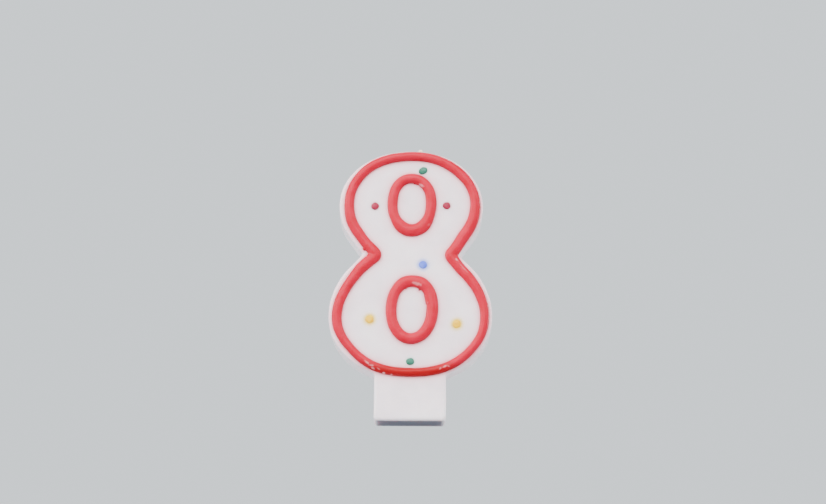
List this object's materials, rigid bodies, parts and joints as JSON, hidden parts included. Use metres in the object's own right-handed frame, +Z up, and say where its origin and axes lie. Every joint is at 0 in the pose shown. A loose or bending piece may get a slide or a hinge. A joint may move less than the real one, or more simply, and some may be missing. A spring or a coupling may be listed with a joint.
{
  "type": "number birthday candle",
  "caption": "Wax birthday candle in the shape of the figure 8 with raised piping and dots, a folded wick at the top edge and a flat stem to push into a cake.",
  "frame": {"origin": "centre of the flat foot of the stem, at half the slab's thickness", "axes": "+Z up along the candle, +X to the right of the decorated front, -Y out of the decorated front"},
  "size_m": [0.047, 0.0136, 0.0828],
  "materials": {
    "white_wax": "milky white paraffin wax, satin, faintly translucent, slightly uneven cast surface",
    "red_wax": "coral red piped wax with a soft gloss",
    "red_dot_wax": "deep red dripped wax",
    "green_wax": "sea green dripped wax",
    "blue_wax": "pale periwinkle blue dripped wax with soft edges",
    "yellow_wax": "soft yellow dripped wax with soft edges",
    "wick_cotton": "braided cotton primed with clear wax"
  },
  "bodies": {
    "root": {"wax_body": "white_wax", "wick": "wick_cotton", "outline_bead": "red_wax", "upper_ring_bead": "red_wax", "lower_ring_bead": "red_wax", "dot_red_left": "red_dot_wax", "dot_red_right": "red_dot_wax", "dot_green_top": "green_wax", "dot_green_bottom": "green_wax", "dot_blue": "blue_wax", "dot_yellow_left": "yellow_wax", "dot_yellow_right": "yellow_wax"}
  },
  "joints": []
}
